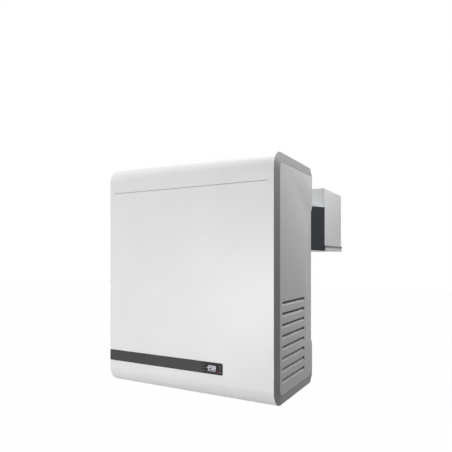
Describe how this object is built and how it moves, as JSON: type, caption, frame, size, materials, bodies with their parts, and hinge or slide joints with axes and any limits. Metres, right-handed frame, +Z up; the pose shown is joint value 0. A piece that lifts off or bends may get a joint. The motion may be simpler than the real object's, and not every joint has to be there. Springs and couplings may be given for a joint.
{
  "type": "monoblock refrigeration unit",
  "caption": "Wall-mounted monoblock refrigeration unit: an outdoor housing with controller and side louvres, a plug through the wall and an evaporator section inside the room.",
  "frame": {"origin": "centre of the four wall-bolt holes, on the back face of the housing", "axes": "+X to the right seen from the front, +Y from the housing through the wall into the room, +Z up"},
  "size_m": [0.67, 0.8351, 0.8012],
  "materials": {
    "white_powder_coat": "satin",
    "grey_powder_coat": "satin",
    "side_powder_coat": "satin",
    "strip_plastic": "matte",
    "controller_plastic": "satin",
    "display_lens": "gloss",
    "key_plastic": "satin",
    "galvanised_steel": "satin",
    "zinc_fastener": "satin",
    "black_enamel": "satin",
    "black_plastic": "matte",
    "motor_casting": "matte",
    "black_rubber": "matte",
    "seal_foam": "matte",
    "aluminium_fin": "satin",
    "copper_tube": "satin",
    "electrical_plastic": "matte",
    "terminal_plastic": "matte",
    "insulation_foam": "matte",
    "dark_coated_sheet": "satin",
    "evaporator_sheet": "satin",
    "guard_wire": "satin",
    "spigot_plastic": "satin"
  },
  "bodies": {
    "unit": {"base_tray": "galvanised_steel", "rear_panel": "galvanised_steel", "top_panel": "white_powder_coat", "side_bezel_right": "grey_powder_coat", "side_bezel_left": "grey_powder_coat", "side_panel_right": "side_powder_coat", "side_panel_left": "side_powder_coat", "divider_shelf": "galvanised_steel", "controller_bracket": "galvanised_steel", "controller_case": "controller_plastic", "display_frame": "controller_plastic", "display_window": "display_lens", "compressor_shell": "black_enamel", "compressor_base": "galvanised_steel", "compressor_grommets": "black_rubber", "compressor_bolts": "zinc_fastener", "compressor_terminal_cover": "black_plastic", "condenser_fins": "aluminium_fin", "condenser_tubes": "copper_tube", "fan_shroud": "black_plastic", "condenser_fan_motor": "motor_casting", "filter_drier": "copper_tube", "capillary_coil": "copper_tube", "discharge_pipe": "copper_tube", "liquid_pipe": "copper_tube", "suction_pipe": "copper_tube", "electrical_box": "electrical_plastic", "electrical_lid": "electrical_plastic", "terminal_block": "terminal_plastic", "cable_gland": "black_plastic", "plug_core": "insulation_foam", "plug_sleeve": "galvanised_steel", "plug_cheek_right": "dark_coated_sheet", "plug_cheek_left": "dark_coated_sheet", "wall_gasket": "seal_foam", "evaporator_side_right": "evaporator_sheet", "evaporator_side_left": "evaporator_sheet", "evaporator_top_cover": "evaporator_sheet", "evaporator_front_panel": "evaporator_sheet", "evaporator_fan_panel": "evaporator_sheet", "tray_hinge_pins": "zinc_fastener", "evaporator_fins": "aluminium_fin", "evaporator_tubes": "copper_tube", "evaporator_fan_motors": "motor_casting", "evaporator_fan_guards": "guard_wire", "sheet_screws": "zinc_fastener"},
    "front_cover": {"front_cover": "white_powder_coat", "front_strip": "strip_plastic", "cover_screws": "zinc_fastener"},
    "condenser_fan": {"condenser_fan_blade": "black_plastic"},
    "evaporator_fan_right": {"evaporator_fan_blade_right": "black_plastic"},
    "evaporator_fan_left": {"evaporator_fan_blade_left": "black_plastic"},
    "drip_tray": {"drip_tray": "evaporator_sheet", "tray_spigot": "spigot_plastic"},
    "key_1": {"key_1": "key_plastic"},
    "key_2": {"key_2": "key_plastic"},
    "key_3": {"key_3": "key_plastic"},
    "key_4": {"key_4": "key_plastic"},
    "key_5": {"key_5": "key_plastic"},
    "key_6": {"key_6": "key_plastic"}
  },
  "joints": [
    {"name": "front_cover_slide", "type": "slide", "parent": "unit", "child": "front_cover", "axis": [0, -1, 0], "range_m": [0, 0.4]},
    {"name": "condenser_fan_spin", "type": "hinge", "parent": "unit", "child": "condenser_fan", "pos_m": [0.206, -0.1752, -0.2407], "axis": [1, 0, 0], "continuous": true},
    {"name": "evaporator_fan_right_spin", "type": "hinge", "parent": "unit", "child": "evaporator_fan_right", "pos_m": [0.15, 0.4578, 0.2243], "axis": [0, 1, 0], "continuous": true},
    {"name": "evaporator_fan_left_spin", "type": "hinge", "parent": "unit", "child": "evaporator_fan_left", "pos_m": [-0.15, 0.4578, 0.2243], "axis": [0, 1, 0], "continuous": true},
    {"name": "drip_tray_hinge", "type": "hinge", "parent": "unit", "child": "drip_tray", "pos_m": [0, 0.231, 0.1023], "axis": [-1, 0, 0], "range_deg": [0, 60]},
    {"name": "key_1_press", "type": "slide", "parent": "unit", "child": "key_1", "axis": [0, 1, 0], "range_m": [0, 0.0006], "stiffness_N_per_m": 400},
    {"name": "key_2_press", "type": "slide", "parent": "unit", "child": "key_2", "axis": [0, 1, 0], "range_m": [0, 0.0006], "stiffness_N_per_m": 400},
    {"name": "key_3_press", "type": "slide", "parent": "unit", "child": "key_3", "axis": [0, 1, 0], "range_m": [0, 0.0006], "stiffness_N_per_m": 400},
    {"name": "key_4_press", "type": "slide", "parent": "unit", "child": "key_4", "axis": [0, 1, 0], "range_m": [0, 0.0006], "stiffness_N_per_m": 400},
    {"name": "key_5_press", "type": "slide", "parent": "unit", "child": "key_5", "axis": [0, 1, 0], "range_m": [0, 0.0006], "stiffness_N_per_m": 400},
    {"name": "key_6_press", "type": "slide", "parent": "unit", "child": "key_6", "axis": [0, 1, 0], "range_m": [0, 0.0006], "stiffness_N_per_m": 400}
  ]
}
